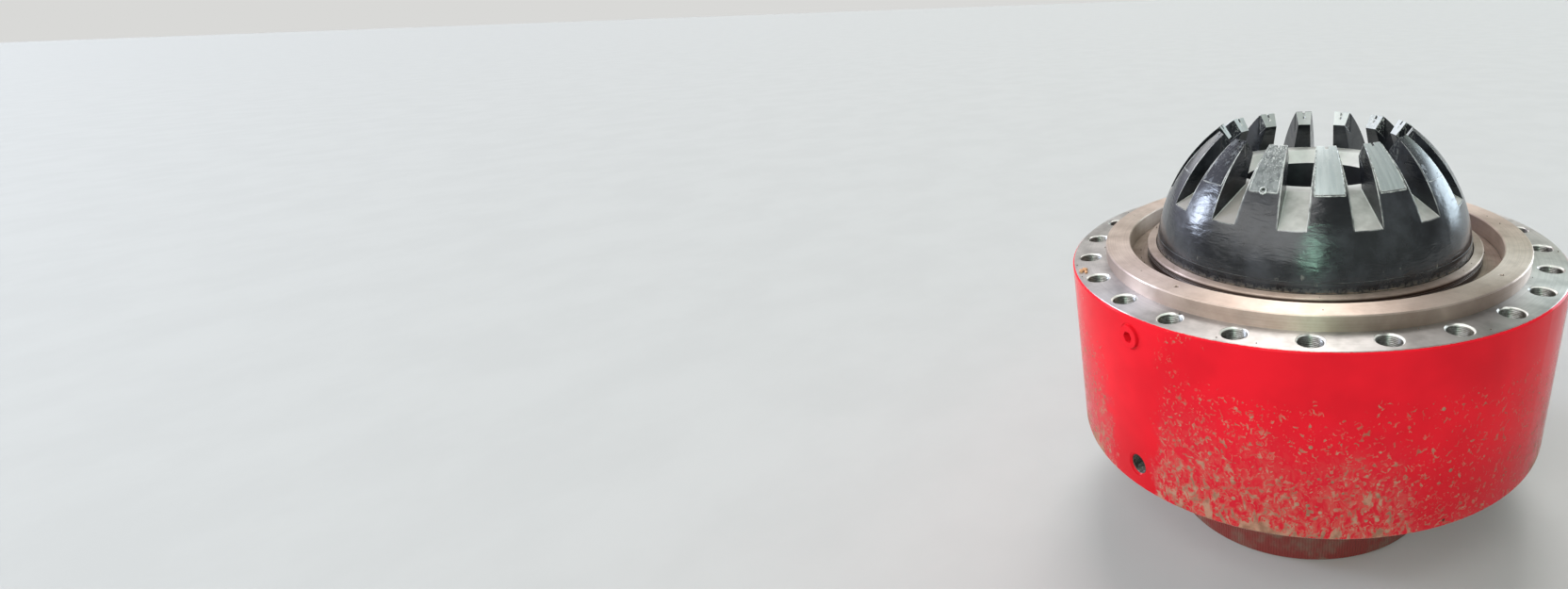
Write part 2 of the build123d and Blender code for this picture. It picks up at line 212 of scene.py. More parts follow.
turnedLooks = {
    "tarnishedTurnedSteel": {
        "pale": "#DFCCBF", "tarnish": "#C5AFA1", "oil": "#756558", "pitch": 1.2 * mm, "roughness": 0.42,
        "smudges": 0.35},
    "dustyTurnedSteel": {
        "pale": "#CDB9AC", "tarnish": "#A89385", "oil": "#6E5D52", "pitch": 1.6 * mm, "roughness": 0.46,
        "smudges": 0.5},
}
handledLook = {
    "stain": (130 * mm, 0.34, 0.7, 5.0, 0.62),
    "streaks": (45 * mm, 0.42, 0.72, 4.0, 0.6),
    "streakDraw": 0.3, "uprightDarkening": 0.3, "oilInMarks": 0.18, "dulling": 0.15,
    # painted shade: near black-brown for the piston rim's outer wall, down in the gap inside the adapter ring
    "rimShade": "#2E211C", "rimShadeTop": 3 * mm, "rimShadeShare": 0.85,
    "paleWearAndHighlight": "#F4E6DC", "wornReach": 2.5 * mm, "wornShare": 0.6, "edgeRadius": 1.4 * mm,
}


def makeTurnedSteel(name, look):
    # Carbon steel turned on a lathe and then handled: rings of fine tool marks and tan tarnish in
    # patches, streaks of oil and wet hands on the walls, painted shade on the piston rim's outer wall
    # below its top, and pale edges that are partly wear and partly a painted highlight
    hands = handledLook
    material, add = newMaterial(name)
    at = placeOf(add)
    coords = at["coords"]
    lay = turnedLay(add, at, look["pitch"])
    upright = add("fade", add("ABSOLUTE", at["up"]), 0.3, 0.7, 1.0, 0.3)
    drawn = add("stretch", coords, (1, 1, hands["streakDraw"]))
    smudge = allOf(add, patches(add, drawn, *hands["streaks"]), upright, look["smudges"])
    # every upright wall is also darkened evenly towards the oil tone, besides the streaks
    smudge = add("MAXIMUM", smudge, add("fade", upright, 0.3, 1.0, 0.0, hands["uprightDarkening"]))
    # painted shade: the piston's rim is painted dark below its top, where it lies in the gap's shadow
    rimShadeTop = part["rimTop"] - hands["rimShadeTop"]
    underRim = add("fade", at["z"], rimShadeTop, rimShadeTop - 3 * mm)
    rimEdge = part["rimRadius"] + mm
    onRim = add("fade", at["radius"], rimEdge + mm, rimEdge)
    colour = layered(
        add, look["pale"],
        (patches(add, coords, *hands["stain"]), look["tarnish"]),
        (smudge, look["oil"]),
        (add("fade", lay, 0.3, 0.75, 0.0, hands["oilInMarks"]), look["oil"]),
        (allOf(add, underRim, onRim, hands["rimShadeShare"]), hands["rimShade"]),
        (allOf(add, wornAndLitEdges(add, hands["wornReach"]), hands["wornShare"]), hands["paleWearAndHighlight"]))
    rough = add("MULTIPLY_ADD", lay, turnedFinish["marks"], look["roughness"])
    rough = add("MULTIPLY_ADD", smudge, hands["dulling"], rough)
    finishMaterial(add, {"Base Color": colour, "Metallic": 1.0, "Roughness": rough,
                         "Normal": add("bevel", hands["edgeRadius"]), **acrossTheLay(add)})
    return material


# Enamel and the mud on it

# A clean strip runs up through the ports, widest at the top, and a lee at one side caught less
mudLook = {
    "splashTop": 645 * mm, "splashBottom": 300 * mm, "thinning": 0.75,
    "patchGrain": 70 * mm, "broadGrain": 420 * mm, "stripMiddle": -1.4, "stripHalfLow": 5.6,
    "stripHalfHigh": 7.6, "stripWidens": 380 * mm, "stripWide": 520 * mm, "wanderGrain": 55 * mm,
    "wander": 0.22, "leeMiddle": 76, "leeHalf": 14, "leeShare": 0.45,
    "footHeight": 50 * mm, "footFull": 5 * mm, "footExtra": 0.3,
    "dropCell": 17 * mm, "dropChance": 0.3, "dropSmall": 0.1, "dropSpread": 0.26,
    "faint": (16 * mm, 0.4, 0.62, 2.0, 0.55, 0.3, 0.88),
}
# Each form of splash is a noise: its size, how far it is drawn out upwards, detail, roughness and
# distortion. It is mud above a line that sinks as the mud gets denser, and its edge fades a little.
mudForms = {
    "specks": (12.5 * mm, 1.0, 2.5, 0.55, 1.0, (0.0, 0.6, 0.64, 0.568), (-0.03, 0.05, 0.0, 1.0)),
    "worms": (25 * mm, 0.65, 3.5, 0.6, 1.4, (0.55, 1.0, 0.66, 0.555), (0.0, 0.04, 0.0, 0.85)),
    "cakes": (38 * mm, 0.6, 4.0, 0.62, 0.8, (0.8, 1.2, 0.70, 0.47), (0.0, 0.05, 0.0, 0.9)),
}


def mudForm(add, coords, density, grain, drawn, detail, roughness, distortion, line, edge):
    field = add("noise", add("stretch", coords, (1, 1, drawn)), 1 / grain, detail, roughness, distortion)
    above = add("SUBTRACT", field, add("slope", density, *line))
    return add("fade", above, *edge), field


def mudDrops(add, coords, density, look):
    # round drops of several sizes, more of them where the mud lies denser
    cells = add("cells", coords, 1 / look["dropCell"], 0.9)
    chance, spread, _ = add("splitColour", cells.node.outputs["Color"]).node.outputs
    chosen = add("GREATER_THAN", add("MULTIPLY", density, look["dropChance"]), chance)
    size = add("MULTIPLY_ADD", spread, look["dropSpread"], look["dropSmall"])
    inside = add("fade", add("SUBTRACT", size, cells), 0.0, 0.06)
    return allOf(add, inside, chosen)


def mudOnEnamel(add, at, look):
    # floor mud splashed up: specks high up, worms and cakes low down, none on the strip round the ports
    coords = at["coords"]
    height = add("slope", at["z"], look["splashTop"], look["splashBottom"])
    height = add("POWER", height, look["thinning"])
    broad = add("noise", coords, 1 / look["broadGrain"], 1.0, 0.55)
    uneven = add("ADD", add("noise", coords, 1 / look["patchGrain"], 2.0, 0.55), broad)
    uneven = add("MULTIPLY_ADD", uneven, 0.5, -0.5)
    wander = add("noise", coords, 1 / look["wanderGrain"], 4.0, 0.65)
    wander = add("MULTIPLY_ADD", wander, look["wander"], -look["wander"] / 2)
    offStrip = add("ADD", offBy(add, at["angle"], radians(look["stripMiddle"])), wander)
    stripEdge = add("fade", at["z"], look["stripWidens"], look["stripWide"],
                    radians(look["stripHalfLow"]), radians(look["stripHalfHigh"]))
    strip = add("fade", add("SUBTRACT", offStrip, stripEdge), -0.01, 0.05)
    offLee = offBy(add, at["angle"], radians(look["leeMiddle"]))
    offLee = add("MULTIPLY_ADD", uneven, 0.3, offLee)
    leeEdge = radians(look["leeHalf"])
    lee = add("fade", offLee, leeEdge, leeEdge + 0.15, look["leeShare"], 1.0)
    started = add("MULTIPLY_ADD", uneven, 0.8, height)
    started = add("fade", started, 0.03, 0.09)
    foot = add("fade", at["z"], part["bodyBottom"] + look["footHeight"],
               part["bodyBottom"] + look["footFull"], 0.0, look["footExtra"])
    foot = allOf(add, foot, add("fade", broad, 0.4, 0.55))
    density = add("ADD", add("ADD", height, uneven), foot)
    density = allOf(add, density, strip, lee, started)
    specks, _ = mudForm(add, coords, density, *mudForms["specks"])
    mud = allOf(add, specks, patches(add, coords, *look["faint"]))
    worms, wormField = mudForm(add, coords, density, *mudForms["worms"])
    cakes, _ = mudForm(add, coords, density, *mudForms["cakes"])
    for form in (worms, cakes, mudDrops(add, coords, density, look)):
        mud = add("MAXIMUM", mud, form)
    return allOf(add, mud, strip, started), density, wormField


enamelLook = {
    "red": "#E21D2B", "darkRed": "#D11A27", "lowRed": "#BB141F", "filmRed": "#BE2737",
    "mud": "#786652", "mudLight": "#A88671", "haze": "#AE7665", "chip": "#4A2A20",
    # the hole and port tones are painted shade; the mouth tone is a painted highlight
    "steel": "#D1CBC7", "steelDark": "#9E9894", "holeShade": "#6B6762", "mouth": "#FBF7F2",
    "portShade": "#2C2A28", "topChamfer": 5 * mm, "paintLap": 1 * mm, "lapGrain": 8 * mm,
    "lapWander": 1.8 * mm, "plugReach": 34 * mm, "portReach": 80 * mm, "lowFrom": 200 * mm, "lowShare": 0.8,
    "film": 0.5, "haziness": 0.5, "mudCover": 0.9,
    "faded": (200 * mm, 0.35, 0.7), "mudTones": (22 * mm, 0.35, 0.65),
    "stain": (120 * mm, 0.36, 0.7, 4.0, 0.6),
    "chips": ((66.1, 311.5 * mm, 5 * mm), (-3.5, 741 * mm, 3.5 * mm)), "chipWarp": 5 * mm,
    "pitch": 1.4 * mm, "dirtInMarks": 0.35, "shadeFrom": 4 * mm, "shadeFull": 9 * mm, "mouthDulling": 0.6,
    "glossGrain": 50 * mm, "gloss": 0.13, "glossSpread": 0.08, "mudRoughness": 0.85,
    "edgeRadius": 0.8 * mm, "peelGrain": 4 * mm, "peel": 0.04 * mm, "mudThickness": 0.5 * mm,
}


def bareSteelOn(add, at, look):
    # the top face inside the paint's ragged lap, the holes and the bore, but not the painted plug
    ragged = add("noise", at["coords"], 1 / look["lapGrain"], 3.0, 0.55)
    ragged = add("MULTIPLY_ADD", ragged, look["lapWander"], -look["lapWander"] / 2)
    lap = part["bodyRadius"] - look["topChamfer"] + look["paintLap"]
    within = add("ADD", at["radius"], ragged)
    within = add("fade", within, lap + 0.5 * mm, lap)
    underside = part["bodyBottom"] + 2 * mm
    above = add("fade", at["z"], underside, underside + mm)
    bare = add("MAXIMUM", allOf(add, within, above), inBore(add, at))
    fromPlug = add("distance", at["coords"], (0, -part["plugFront"], part["plugMiddle"]))
    return allOf(add, bare, add("fade", fromPlug, look["plugReach"], look["plugReach"] + mm))


def paintOn(add, at, look, mud, density, worms):
    # red that darkens downwards, a film and a haze of fine mud on it, the mud itself, and two rust chips
    coords = at["coords"]
    lowFrom = part["bodyTop"] - look["lowFrom"]
    low = add("fade", at["z"], lowFrom, part["bodyBottom"], 0.0, look["lowShare"])
    haze = add("fade", density, 0.3, 1.2, 0.0, look["haziness"])
    mudTone = layered(add, look["mud"], (patches(add, coords, *look["mudTones"]), look["mudLight"]))
    colour = layered(
        add, look["red"],
        (patches(add, coords, *look["faded"]), look["darkRed"]),
        (low, look["lowRed"]),
        (add("fade", density, 0.05, 0.8, 0.0, look["film"]), look["filmRed"]),
        (allOf(add, haze, add("fade", worms, 0.4, 0.62)), look["haze"]),
        (allOf(add, mud, look["mudCover"]), mudTone))
    warp = look["chipWarp"]
    crooked = add("noise", coords, 1 / look["lapGrain"]).node.outputs["Color"]
    crooked = add("shift", crooked, (warp,) * 3, coords)
    for angle, height, reach in look["chips"]:
        # the warp moves all points by about half of it, and so the spot too
        spot = polar(part["bodyRadius"] + warp / 2, angle, height + warp / 2)
        chip = add("fade", add("distance", crooked, spot), reach, 0.6 * reach)
        colour = layered(add, colour, (chip, look["chip"]))
    return colour


def steelOn(add, at, look, lay):
    # turned steel: stained in patches, with painted shade down the stud holes and in the closing port, and a
    # painted highlight, near white, on the chamfers at the holes' mouths
    fromTop = add("SUBTRACT", part["bodyTop"], at["z"])
    onCircle = add("fade", offBy(add, at["radius"], part["studCircle"]),
                   part["studHole"] + 2 * mm, part["studHole"] - mm)
    # painted shade: the stud holes are painted darker from a few millimetres below the top face
    shadedDepth = add("fade", fromTop, look["shadeFrom"], look["shadeFull"])
    # painted highlight: the chamfers at the stud holes' mouths are near white, and less metallic
    chamfer = add("fade", fromTop, part["studChamfer"] + mm, part["studChamfer"])
    mouth = allOf(add, chamfer, add("fade", fromTop, 0.2 * mm, 0.6 * mm), onCircle)
    # painted shade: the closing port is painted near black inside
    fromPort = add("distance", at["coords"], (0, -part["portFace"], part["closingPort"]))
    portInShade = add("fade", fromPort, look["portReach"] + 10 * mm, look["portReach"])
    colour = layered(
        add, look["steel"],
        (patches(add, at["coords"], *look["stain"]), look["steelDark"]),
        (add("fade", lay, 0.3, 0.75, 0.0, look["dirtInMarks"]), look["steelDark"]),
        (allOf(add, shadedDepth, onCircle), look["holeShade"]),
        (mouth, look["mouth"]),
        (portInShade, look["portShade"]))
    return colour, mouth


def makeRedEnamel():
    # Gloss alkyd enamel sprayed on a steel forging: strong red with a slight orange peel, splashed
    # with dried mud. The machined top face, the bores and the holes are left as bare turned steel.
    look = enamelLook
    material, add = newMaterial("redAlkydEnamel")
    at = placeOf(add)
    coords = at["coords"]
    bare = bareSteelOn(add, at, look)
    mud, density, worms = mudOnEnamel(add, at, mudLook)
    mud = allOf(add, mud, add("SUBTRACT", 1.0, bare))
    lay = turnedLay(add, at, look["pitch"])
    steel, mouth = steelOn(add, at, look, lay)
    gloss = add("noise", coords, 1 / look["glossGrain"], 3.0, 0.55)
    gloss = add("MULTIPLY_ADD", gloss, look["glossSpread"], look["gloss"])
    painted = add("mixValue", mud, gloss, look["mudRoughness"])
    turned = add("MULTIPLY_ADD", lay, turnedFinish["marks"], turnedFinish["roughness"])
    peel = add("bump", add("noise", coords, 1 / look["peelGrain"], 1.0, 0.55),
               look["peel"], 0.3, add("bevel", look["edgeRadius"]))
    finishMaterial(add, {
        "Base Color": layered(add, paintOn(add, at, look, mud, density, worms), (bare, steel)),
        "Metallic": allOf(add, bare, add("MULTIPLY_ADD", mouth, -look["mouthDulling"], 1.0)),
        "Roughness": add("mixValue", bare, painted, turned),
        "Normal": add("bump", mud, look["mudThickness"], 0.7, peel),
        "IOR": 1.45, "Specular IOR Level": 0.07, **acrossTheLay(add),
    })
    return material


shadedDustyLook = {
    # painted shade: this red and this steel are far darker copies of the lit enamel's
    "red": "#741A18", "dust": "#6B5B4E", "rust": "#45281D", "steel": "#6E6A64",
    "lying": 0.7, "rustiness": 0.8,
    "smear": (45 * mm, 0.42, 0.72, 5.0, 0.62, 0.1, 0.8),
    "freckles": (6 * mm, 0.64, 0.72, 4.0, 0.7),
    "sprayGrain": 2.5 * mm, "spray": 0.15 * mm, "edgeRadius": 1.2 * mm, "neckRadius": 260 * mm,
    "beadReach": 22 * mm, "ripple": 5 * mm, "rippleGrain": 20 * mm, "rippleDrift": 4.0,
    "rippleHeight": 0.6 * mm,
}


def makeShadedDustyEnamel():
    # The same enamel low down and out of the light, its red and steel painted much darker as shade: dulled by
    # floor dust, with rust freckles. The weld beads at both ends of the neck show their ripples through the
    # paint.
    look = shadedDustyLook
    material, add = newMaterial("shadedDustyAlkydEnamel")
    at = placeOf(add)
    coords = at["coords"]
    lying = add("fade", at["up"], 0.3, 0.9, 0.0, look["lying"])
    dust = add("MAXIMUM", lying, patches(add, coords, *look["smear"]))
    bore = inBore(add, at)
    colour = layered(
        add, look["red"],
        (dust, look["dust"]),
        (allOf(add, patches(add, coords, *look["freckles"]), look["rustiness"]), look["rust"]),
        (bore, look["steel"]))
    middle = (part["neckBottom"] + part["bodyBottom"]) / 2
    reach = (part["bodyBottom"] - part["neckBottom"]) / 2 - look["beadReach"]
    onBead = add("fade", offBy(add, at["z"], middle), reach, reach + 3 * mm)
    arc = add("MULTIPLY", at["angle"], look["neckRadius"] * tau / look["ripple"])
    drift = add("noise", coords, 1 / look["rippleGrain"], 3.0, 0.55)
    scales = add("SINE", add("MULTIPLY_ADD", drift, look["rippleDrift"], arc))
    spray = add("bump", add("noise", coords, 1 / look["sprayGrain"], 2.0, 0.55),
                look["spray"], 0.5, add("bevel", look["edgeRadius"]))
    finishMaterial(add, {
        "Base Color": colour, "Metallic": bore, "Roughness": add("mixValue", dust, 0.4, 0.85),
        "Normal": add("bump", allOf(add, scales, onBead), look["rippleHeight"], 0.7, spray),
    })
    return material


# Rubber and the steel cast into it

rubberLook = {
    "rubber": "#141518", "rubberBloom": "#34353A", "dust": "#BBB9B5", "dustDark": "#A3A09C",
    "dustBrownAndShade": "#857E79", "paleWearAndHighlight": "#ECEBE7", "dirt": "#5D5148", "scuff": "#8C8880",
    "partingLine": 794.5 * mm, "skin": 1.2 * mm, "boreWall": 12 * mm, "shadedBoreBloom": 0.45, "boreRoughness": 0.6,
    "bloom": (90 * mm, 0.35, 0.75, 5.0, 0.6),
    "dustCover": (30 * mm, 0.25, 0.5, 4.0, 0.55, 0.9),
    "dustTones": (40 * mm, 0.35, 0.7),
    "brownMiddle": -20, "brownHalf": 28, "brownFade": 42, "brownShare": 0.8,
    "throatFrom": 240 * mm, "throatTo": 210 * mm, "throatHighlight": 0.5,
    "wear": (25 * mm, 0.35, 0.6, 4.0, 0.65, 0.3, 0.9), "wornReach": 8 * mm,
    "dirtTop": 14 * mm, "dirtCover": 0.6,
    "dirtSpots": (9 * mm, 0.42, 0.6, 5.0, 0.7),
    "beltAboveLine": 7 * mm, "beltHalf": 10 * mm, "beltSoft": 6 * mm, "scuffing": 0.4,
    "scuffs": (13 * mm, 0.63, 0.70, 3.0, 0.6),
    "wipeGrain": 6 * mm, "wipeDraw": 0.18, "gloss": 0.12, "dustRoughness": 0.82, "edgeRadius": 1.8 * mm,
    "waveGrain": 60 * mm, "wave": 1.2 * mm, "foldGrain": 14 * mm, "foldDraw": 0.25, "fold": 2 * mm,
    "loose": (110 * mm, 0.45, 0.6, 2.0, 0.55, 0.25),
    "mouldGrain": 4 * mm, "mould": 0.12 * mm,
}


def dustOnRubber(add, at, look):
    # pale dust, in two tones; on the side of the ports it is browner and also painted darker as shade, and
    # round the throat it is paler as a painted highlight
    # painted shade: on the side of the ports the dust is browner and also darker
    fromPorts = offBy(add, at["angle"], radians(look["brownMiddle"]))
    portSideShade = add("fade", fromPorts, radians(look["brownHalf"]), radians(look["brownFade"]),
                   look["brownShare"], 0.0)
    # painted highlight: round the throat the dust is paler
    litThroat = add("fade", at["radius"], look["throatFrom"], look["throatTo"], 0.0, look["throatHighlight"])
    tones = patches(add, at["coords"], *look["dustTones"])
    return layered(add, look["dust"], (tones, look["dustDark"]), (portSideShade, look["dustBrownAndShade"]),
                   (litThroat, look["paleWearAndHighlight"]))


def reliefOfRubber(add, coords, look):
    # a slow wave, the slack skin's folds in some places, and the grain of the mould
    slow = add("noise", coords, 1 / look["waveGrain"], 2.0, 0.55)
    relief = add("bump", slow, look["wave"], 0.5, add("bevel", look["edgeRadius"]))
    slack = add("stretch", coords, (look["foldDraw"], look["foldDraw"], 1))
    folds = add("noise", slack, 1 / look["foldGrain"], 3.0, 0.6, 0.8)
    folds = allOf(add, folds, patches(add, coords, *look["loose"]))
    relief = add("bump", folds, look["fold"], 0.65, relief)
    grain = add("noise", coords, 1 / look["mouldGrain"], 3.0, 0.55)
    return add("bump", grain, look["mould"], 0.5, relief)


def makeElementRubber():
    # Moulded nitrile rubber: near black and satin, with grey bloom and wiping marks, and less bloom down the
    # bore as painted shade. The floors of the slots and the ledge carry pale dust, darker as painted shade on
    # the side of the ports and paler as a painted highlight round the throat; their edges are worn pale,
    # partly a painted highlight, and the foot is dirty.
    look = rubberLook
    material, add = newMaterial("mouldedNitrileRubber")
    at = placeOf(add)
    coords = at["coords"]
    inside = add("fade", depthInDome(add, at), look["skin"], 1.6 * look["skin"])
    lying = add("fade", at["up"], 0.35, 0.6)
    dust = allOf(add, inside, lying, patches(add, coords, *look["dustCover"]))
    # painted shade: down the bore the rubber keeps less of its grey bloom, so it reads darker
    boreEdge = part["boreRadius"] + look["boreWall"]
    outOfShadedBore = add("fade", at["radius"], boreEdge, boreEdge + 8 * mm, look["shadedBoreBloom"], 1.0)
    bloom = allOf(add, patches(add, coords, *look["bloom"]), outOfShadedBore)
    outwards = add("fade", at["radius"], part["boreRadius"], 200 * mm)
    # pale edges on the rubber: partly wear, partly a painted highlight
    worn = allOf(add, wornAndLitEdges(add, look["wornReach"]), patches(add, coords, *look["wear"]), outwards)
    low = add("fade", at["z"], part["rimTop"] + look["dirtTop"], part["rimTop"] + mm)
    dirt = allOf(add, low, patches(add, coords, *look["dirtSpots"]))
    offBelt = offBy(add, at["z"], look["partingLine"] + look["beltAboveLine"])
    belt = add("fade", offBelt, look["beltHalf"] + look["beltSoft"], look["beltHalf"])
    marks = patches(add, add("stretch", coords, (1, 1, 0.4)), *look["scuffs"])
    colour = layered(
        add, look["rubber"],
        (bloom, look["rubberBloom"]),
        (dust, dustOnRubber(add, at, look)),
        (allOf(add, worn, lying), look["paleWearAndHighlight"]),
        (allOf(add, dirt, look["dirtCover"]), look["dirt"]),
        (allOf(add, belt, marks, look["scuffing"]), look["scuff"]))
    wiped = add("stretch", coords, (look["wipeDraw"], look["wipeDraw"], 1))
    wipes = add("noise", wiped, 1 / look["wipeGrain"], 3.0, 0.6)
    rough = add("MULTIPLY_ADD", wipes, 0.12, look["gloss"])
    rough = add("MULTIPLY_ADD", bloom, 0.08, rough)
    rough = add("mixValue", outOfShadedBore, look["boreRoughness"], rough)
    rough = add("mixValue", add("MAXIMUM", dust, dirt), rough, look["dustRoughness"])
    finishMaterial(add, {"Base Color": colour, "Roughness": rough,
                         "Normal": reliefOfRubber(add, coords, look), "IOR": 1.52})
    return material


segmentLooks = {
    "brushedCastSteel": {"pale": "#C2C7C7", "dark": "#ABB1B2", "metal": 0.5, "film": 0.12, "scratches": 0.25,
                         "edges": 1.0, "pitting": 0.04 * mm, "grain": 13 * mm, "drawn": 0.12},
    "scuffedCastSteel": {"pale": "#8B8E8D", "dark": "#626565", "metal": 0.45, "film": 0.2, "scratches": 0.7,
                         "edges": 1.0, "pitting": 0.2 * mm, "grain": 12 * mm, "drawn": 0.7},
    "rubberFilmedSteel": {"pale": "#707377", "dark": "#4A4C50", "metal": 0.5, "film": 1.0, "scratches": 0.12,
                          "edges": 0.12, "pitting": 0.05 * mm, "grain": 30 * mm, "drawn": 0.6},
}
segmentWear = {
    "skin": 0.8 * mm, "endFace": "#CBCCC9", "endFacePale": 0.7, "mark": "#DDDDD9", "markGrain": 4 * mm,
    "film": (28 * mm, 0.30, 0.62, 4.0, 0.6),
    "highFrom": 75 * mm, "highFull": 15 * mm, "highMarks": 0.08, "wornReach": 2.5 * mm,
    "edges": (20 * mm, 0.4, 0.6, 4.0, 0.65, 0.2, 0.9),
    "roughness": 0.36, "filmRoughness": 0.2, "markRoughness": 0.4, "pitGrain": 4 * mm, "edgeRadius": 0.8 * mm,
}


def filmOnSegment(add, at, look, inside):
    # rubber left by the moulding: in patches on the outer face, and all over the flanks
    film = patches(add, at["coords"], *segmentWear["film"])
    film = add("slope", film, 1.0 - look["film"], 1.3 - look["film"], 0.0, look["film"])
    film = allOf(add, film, add("SUBTRACT", 1.0, inside))
    around = add("join", add("MULTIPLY", at["y"], -1.0), at["x"], 0.0)
    sideways = add("dot", at["normal"], add("unit", around))
    flank = add("fade", add("ABSOLUTE", sideways), 0.75, 0.85)
    return add("MAXIMUM", film, allOf(add, flank, inside)), flank


def marksOnSegment(add, at, look):
    # bare scratches, more of them near the top, and the pale line along the edges, partly wear and partly a
    # painted highlight
    wear = segmentWear
    coords = at["coords"]
    high = add("fade", at["z"], part["elementTop"] - wear["highFrom"],
               part["elementTop"] - wear["highFull"])
    drawn = add("stretch", coords, (1, 1, 0.45))
    scratches = add("noise", drawn, 1 / wear["markGrain"], 4.0, 0.7, 0.6)
    scratches = add("MULTIPLY_ADD", high, wear["highMarks"], scratches)
    scratches = allOf(add, add("fade", scratches, 0.60, 0.68), look["scratches"])
    edges = allOf(add, wornAndLitEdges(add, wear["wornReach"]), patches(add, coords, *wear["edges"]),
                  look["edges"])
    return add("MAXIMUM", scratches, edges)


def makeSegmentSteel(name, look):
    # Cast steel, ground pale on its outer face with a soft grain along the rib, with the film of
    # rubber that moulding leaves on the flanks and on some of the faces; scratches shine through
    wear = segmentWear
    material, add = newMaterial(name)
    at = placeOf(add)
    inside = add("fade", depthInDome(add, at), wear["skin"], wear["skin"] + 0.6 * mm)
    down = [add("MULTIPLY", at[way], look["drawn"]) for way in ("radius", "z")]
    alongRib = add("join", add("MULTIPLY", at["angle"], 0.33), *down)
    mottle = patches(add, alongRib, look["grain"], 0.35, 0.68)
    film, flank = filmOnSegment(add, at, look, inside)
    bloom = patches(add, at["coords"], *rubberLook["bloom"])
    rubber = layered(add, rubberLook["rubber"], (bloom, rubberLook["rubberBloom"]))
    marks = marksOnSegment(add, at, look)
    colour = layered(
        add, look["pale"],
        (mottle, look["dark"]),
        (film, rubber),
        (allOf(add, inside, add("SUBTRACT", 1.0, flank), wear["endFacePale"]), wear["endFace"]),
        (marks, wear["mark"]))
    rough = add("MULTIPLY_ADD", mottle, 0.15, wear["roughness"])
    rough = add("mixValue", film, rough, wear["filmRoughness"])
    pits = add("noise", at["coords"], 1 / wear["pitGrain"], 4.0, 0.55)
    finishMaterial(add, {
        "Base Color": colour, "Metallic": allOf(add, add("SUBTRACT", 1.0, film), look["metal"]),
        "Roughness": add("mixValue", marks, rough, wear["markRoughness"]),
        "Normal": add("bump", pits, look["pitting"], 0.7, add("bevel", wear["edgeRadius"])),
    })
    return material


# Small pieces of one stuff: two near tones, the size of their patches, the relief and the shader's values
plainLooks = {
    # black cord with a low sheen
    "nitrileSealCord": ("#0D0D0E", "#1C1A17", 12 * mm, 0.2 * mm, {"Roughness": 0.35, "IOR": 1.52}),
    # bright flanks of a freshly cut thread, and the same glossier and painted darker as shade, for the
    # closing port
    "cutThreadSteel": ("#9B9A97", "#7A7873", 9 * mm, 0.0, {"Roughness": 0.36, "Metallic": 1.0}),
    "shadedThreadSteel": ("#7C7873", "#4B4742", 9 * mm, 0.0, {"Roughness": 0.25, "Metallic": 0.9}),
    # a torn bead whose rubber is scraped down to grey, and crumbling flash full of floor dirt
    "scrapedRubberFlash": ("#D2D3D0", "#6E6F6E", 5 * mm, 0.2 * mm, {"Roughness": 0.45, "Metallic": 0.3}),
    "dirtyRubberFlash": ("#231E1B", "#6A594C", 18 * mm, 0.2 * mm, {"Roughness": 0.8}),
    # the mould's joint, rubbed grey here and there
    "rubberPartingLine": ("#17181A", "#4C4D4D", 30 * mm, 0.2 * mm, {"Roughness": 0.4, "IOR": 1.52}),
    # dull orange clay, and dull brown crumbs of the workshop floor
    "dryClay": ("#DBA57C", "#BC8D69", 4 * mm, 0.2 * mm, {"Roughness": 0.9}),
    "pressedGrit": ("#7E7266", "#4E463E", 2 * mm, 0.2 * mm, {"Roughness": 0.9}),
    # a matt pale floor
    "paleStudioFloor": ("#B3B2B0", "#B6B5B3", 500 * mm, 0.0, {"Roughness": 0.8}),
}


def makePlainMaterial(name, first, second, grain, relief, values):
    material, add = newMaterial(name)
    field = add("noise", add("coords"), 1 / grain, 4.0, 0.6)
    inputs = {"Base Color": layered(add, first, (add("fade", field, 0.35, 0.65), second)), **values}
    if relief:
        inputs["Normal"] = add("bump", field, relief, 0.5)
    finishMaterial(add, inputs)
    return material


redEnamel = makeRedEnamel()
shadedDustyEnamel = makeShadedDustyEnamel()
turnedSteels = {name: makeTurnedSteel(name, look) for name, look in turnedLooks.items()}
elementRubber = makeElementRubber()
segmentSteels = {name: makeSegmentSteel(name, look) for name, look in segmentLooks.items()}
plain = {name: makePlainMaterial(name, *look) for name, look in plainLooks.items()}
print("stage 2: materials made")


def dress(name, material):
    for slot in nodes[name].material_slots:
        slot.link = "OBJECT"
        slot.material = material


def dressNodes():
    # some segments keep a film of rubber on their faces, some are scuffed, and the rest are ground pale
    faces = {**dict.fromkeys((3, 4, 8, 11, 12, 13), "rubberFilmedSteel"),
             **dict.fromkeys((6, 14), "scuffedCastSteel")}
    whole = {"lower_housing": redEnamel, "opening_port_plug": redEnamel, "neck": shadedDustyEnamel,
             "bottom_flange": shadedDustyEnamel, "adapter_ring": turnedSteels["tarnishedTurnedSteel"],
             "piston": turnedSteels["dustyTurnedSteel"], "packing_element": elementRubber}
    for name in nodes:
        if name in whole:
            dress(name, whole[name])
        elif name.endswith("_seal"):
            dress(name, plain["nitrileSealCord"])
        else:
            dress(name, segmentSteels[faces.get(int(name[-2:]), "brushedCastSteel")])


dressNodes()
print("stage 3: packed pieces dressed")


# Modelling helpers

def clearSelection():
    bpy.ops.object.select_all(action="DESELECT")


def selectOnly(pieces):
    clearSelection()
    for piece in pieces:
        piece.select_set(True)
    bpy.context.view_layer.objects.active = pieces[0]


def editAll(piece):
    selectOnly([piece])
    bpy.ops.object.mode_set(mode="EDIT")
    bpy.ops.mesh.select_all(action="SELECT")


def leaveEdit():
    bpy.ops.object.mode_set(mode="OBJECT")


def applyPlace(piece):
    selectOnly([piece])
    bpy.ops.object.transform_apply(location=True, rotation=True, scale=True)


def addModifier(piece, kind, settings):
    modifier = piece.modifiers.new(kind.title(), kind)
    for name, value in settings.items():
        setattr(modifier, name, value)
    selectOnly([piece])
    bpy.ops.object.modifier_apply(modifier=modifier.name)


